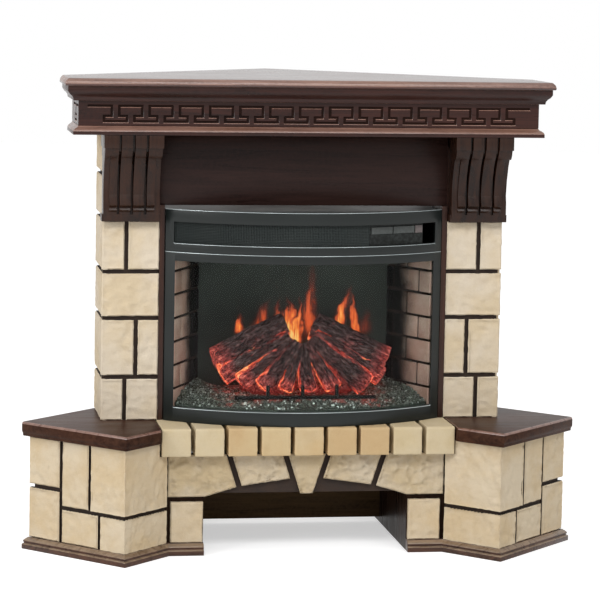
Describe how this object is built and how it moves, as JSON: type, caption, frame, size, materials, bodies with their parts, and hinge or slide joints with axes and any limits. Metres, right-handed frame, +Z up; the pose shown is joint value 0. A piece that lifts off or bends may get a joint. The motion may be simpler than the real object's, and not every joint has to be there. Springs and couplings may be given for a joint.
{
  "type": "corner fireplace",
  "caption": "Stone-clad corner fireplace with dark timber mantel, open log niche and a bowed-glass electric fire insert.",
  "frame": {"origin": "on the floor, under the middle of the object's box", "axes": "+X to the viewer's right, +Y to the corner of the room, +Z up"},
  "size_m": [1.3022, 0.8712, 1.09],
  "materials": {
    "dark_wood": "dark reddish-brown lacquer, satin",
    "plinth_wood": "dark brown lacquer, satin",
    "raw_board": "unfinished board",
    "stone": "fine pitted cast stone, matt",
    "hearth_cream": "cream cast stone, matt",
    "hearth_tan": "orange-tan cast stone, matt",
    "insert_paint": "dark grey-green, satin",
    "black_paint": "black, matt",
    "case_steel": "zinc-coated sheet",
    "front_glass": "clear, polished",
    "flame_screen": "dark, smooth",
    "liner_brick": "sooty brick pattern, matt",
    "embers": "crushed, sparkling",
    "log_ceramic": "charred wood pattern, matt",
    "bright_metal": "plain",
    "motor": "black, satin",
    "circuit": "green board",
    "key_grey": "grey, satin",
    "switch_black": "dull rose-grey"
  },
  "bodies": {
    "portal": {"mantel_top": "dark_wood", "crown_moulding": "dark_wood", "key_frieze": "dark_wood", "lower_moulding": "dark_wood", "mantel_soffit": "raw_board", "header_board": "dark_wood", "pier_case_right": "dark_wood", "pier_case_left": "dark_wood", "corbel_right": "dark_wood", "corbel_left": "dark_wood", "pier_stones_right": "stone", "pier_stones_left": "stone", "wing_slab_right": "dark_wood", "wing_slab_left": "dark_wood", "wing_case_right": "raw_board", "wing_case_left": "raw_board", "wing_stones_right": "stone", "wing_stones_left": "stone", "plinth_right": "plinth_wood", "plinth_left": "plinth_wood", "jamb_stone_right": "stone", "jamb_stone_left": "stone", "arch_stones": "stone", "hearth_board": "dark_wood", "niche_back": "dark_wood", "insert_shelf": "raw_board", "insert_case": "black_paint", "mains_inlet": "motor", "grille_frame": "insert_paint", "glass_frame": "insert_paint", "front_glass": "front_glass", "grille_mesh": "black_paint", "control_panel": "black_paint", "control_board": "circuit", "chamber_ceiling": "black_paint", "brick_liner_right": "liner_brick", "brick_liner_left": "liner_brick", "flame_screen": "flame_screen", "ember_bed": "embers", "log_set": "log_ceramic", "rotor_bracket": "case_steel", "rotor_motor": "motor", "led_board": "circuit", "blower_housing": "case_steel", "blower_motor": "motor", "heater_element": "bright_metal", "hearth_brick_1": "hearth_cream", "hearth_brick_2": "hearth_cream", "hearth_brick_3": "hearth_tan", "hearth_brick_4": "hearth_tan", "hearth_brick_5": "hearth_tan", "hearth_brick_6": "hearth_tan", "hearth_brick_7": "hearth_tan", "hearth_brick_8": "hearth_cream", "hearth_brick_9": "hearth_cream"},
    "flame_key": {"flame_button": "key_grey"},
    "heat_key": {"heat_button": "key_grey"},
    "power_rocker": {"power_switch": "switch_black"},
    "flicker_drive": {"flicker_rotor": "bright_metal"},
    "blower_drive": {"blower_rotor": "bright_metal"}
  },
  "joints": [
    {"name": "flame_press", "type": "slide", "parent": "portal", "child": "flame_key", "axis": [-0.4115, 0.9114, 0], "range_m": [0, 0.0012], "stiffness_N_per_m": 400},
    {"name": "heat_press", "type": "slide", "parent": "portal", "child": "heat_key", "axis": [-0.4115, 0.9114, 0], "range_m": [0, 0.0012], "stiffness_N_per_m": 400},
    {"name": "power_rock", "type": "hinge", "parent": "portal", "child": "power_rocker", "pos_m": [0.26391, -0.23408, 0.7455], "axis": [0, 0, 1], "range_deg": [0, 10]},
    {"name": "flicker_turn", "type": "hinge", "parent": "portal", "child": "flicker_drive", "pos_m": [0, -0.03539, 0.395], "axis": [1, 0, 0], "continuous": true},
    {"name": "blower_turn", "type": "hinge", "parent": "portal", "child": "blower_drive", "pos_m": [-0.053, -0.13639, 0.742], "axis": [1, 0, 0], "continuous": true}
  ]
}
